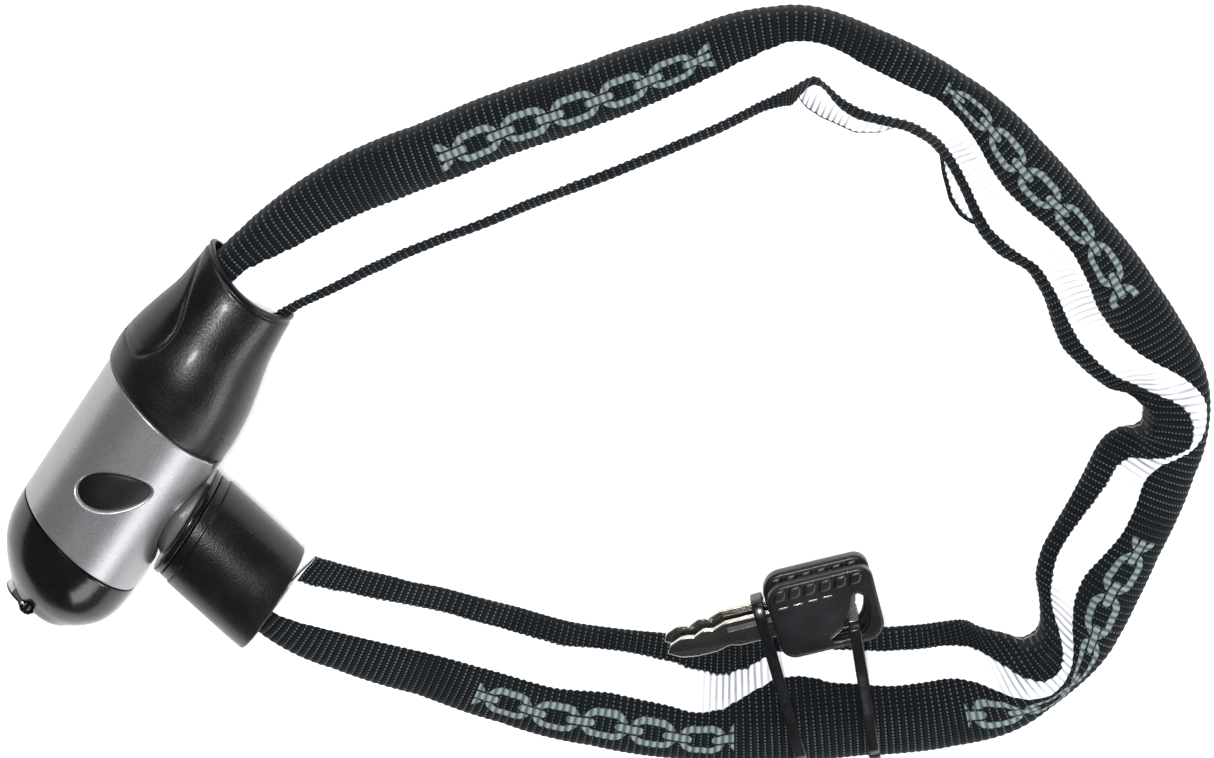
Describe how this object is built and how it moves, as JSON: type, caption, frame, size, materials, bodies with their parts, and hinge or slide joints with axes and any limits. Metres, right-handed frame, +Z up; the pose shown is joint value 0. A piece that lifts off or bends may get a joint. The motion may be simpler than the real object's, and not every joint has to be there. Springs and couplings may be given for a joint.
{
  "type": "chain lock",
  "caption": "Cylinder lock with a plug-in chain of square links in a flat woven sleeve, closed in a loop, with keys held on by cable ties.",
  "frame": {"origin": "bottom centre of the bounding box, on the table that the closed lock lies on", "axes": "+X along the loop's long side, away from the lock body; +Y across the loop, away from the keys; +Z up from the table"},
  "size_m": [0.3621, 0.2336, 0.0442],
  "materials": {
    "silver_paint": "satin silver paint with a fine grain",
    "moulded_black": "semi-gloss moulded plastic with a fine grain",
    "gloss_black": "glossy",
    "matte_black": "matte",
    "steel": "machined",
    "chain_steel": "hardened, plated",
    "brass": "machined",
    "nickel": "nickel plated",
    "webbing": "woven polyester with a white reflective stripe and a grey woven motif",
    "nylon": "smooth nylon"
  },
  "bodies": {
    "lock_body": {"barrel_shell": "silver_paint", "oval_inlay": "matte_black", "lock_casting": "steel", "end_cap": "gloss_black", "cylinder_housing": "steel", "shutter_pin": "steel", "chain_boot": "moulded_black", "anchor_pin": "steel", "chain_link_01": "chain_steel", "chain_link_02": "chain_steel", "sleeve_1": "webbing"},
    "core": {"cylinder_core": "brass", "drive_cam": "steel"},
    "bolt": {"locking_bolt": "steel"},
    "shutter": {"keyhole_shutter": "gloss_black"},
    "plug": {"plug_pin": "steel", "plug_collar": "silver_paint", "plug_ring": "gloss_black", "plug_boot": "moulded_black", "plug_link_pin": "steel"},
    "chain_a": {"chain_link_03": "chain_steel", "chain_link_04": "chain_steel", "chain_link_05": "chain_steel", "chain_link_06": "chain_steel", "chain_link_07": "chain_steel", "chain_link_08": "chain_steel", "sleeve_2": "webbing"},
    "chain_b": {"chain_link_09": "chain_steel", "chain_link_10": "chain_steel", "chain_link_11": "chain_steel", "chain_link_12": "chain_steel", "chain_link_13": "chain_steel", "chain_link_14": "chain_steel", "chain_link_15": "chain_steel", "sleeve_3": "webbing"},
    "chain_c": {"chain_link_16": "chain_steel", "chain_link_17": "chain_steel", "chain_link_18": "chain_steel", "chain_link_19": "chain_steel", "chain_link_20": "chain_steel", "chain_link_21": "chain_steel", "chain_link_22": "chain_steel", "chain_link_23": "chain_steel", "chain_link_24": "chain_steel", "chain_link_25": "chain_steel", "chain_link_26": "chain_steel", "chain_link_27": "chain_steel", "sleeve_4": "webbing", "key_1_blade": "nickel", "key_1_head": "moulded_black", "key_2_blade": "nickel", "key_2_head": "moulded_black", "cable_tie_1": "nylon", "cable_tie_2": "nylon"}
  },
  "joints": [
    {"name": "core_turn", "type": "hinge", "parent": "lock_body", "child": "core", "pos_m": [-0.15351, -0.03784, 0.022], "axis": [0.6088, 0.7934, 0], "range_deg": [0, 90]},
    {"name": "bolt_slide", "type": "slide", "parent": "lock_body", "child": "bolt", "axis": [0.6088, 0.7934, 0], "range_m": [0, 0.0026]},
    {"name": "shutter_swing", "type": "hinge", "parent": "lock_body", "child": "shutter", "pos_m": [-0.16983, -0.0591, 0.0326], "axis": [0.6088, 0.7934, 0], "range_deg": [0, 110]},
    {"name": "chain_a_bend", "type": "hinge", "parent": "lock_body", "child": "chain_a", "pos_m": [-0.08455, 0.05426, 0.0184], "axis": [0, 0, 1], "range_deg": [-11.63, 0]},
    {"name": "chain_b_bend", "type": "hinge", "parent": "chain_a", "child": "chain_b", "pos_m": [0.06579, 0.10675, 0.0093], "axis": [0, 0, 1], "range_deg": [0, 18.63]},
    {"name": "chain_c_bend", "type": "hinge", "parent": "chain_b", "child": "chain_c", "pos_m": [0.16511, -0.03327, 0.0093], "axis": [0, 0, 1], "range_deg": [-7, 0]},
    {"name": "plug_pull", "type": "slide", "parent": "lock_body", "child": "plug", "axis": [0.7934, -0.6088, 0], "range_m": [0, 0.03]}
  ],
  "couplings": [
    {"joint": "bolt_slide", "follows": "core_turn", "m_per_rad": 0.001655},
    {"joint": "chain_b_bend", "follows": "chain_a_bend", "ratio": -1.601},
    {"joint": "chain_c_bend", "follows": "chain_a_bend", "ratio": 0.601},
    {"joint": "plug_pull", "follows": "chain_a_bend", "m_per_rad": -0.14776}
  ]
}
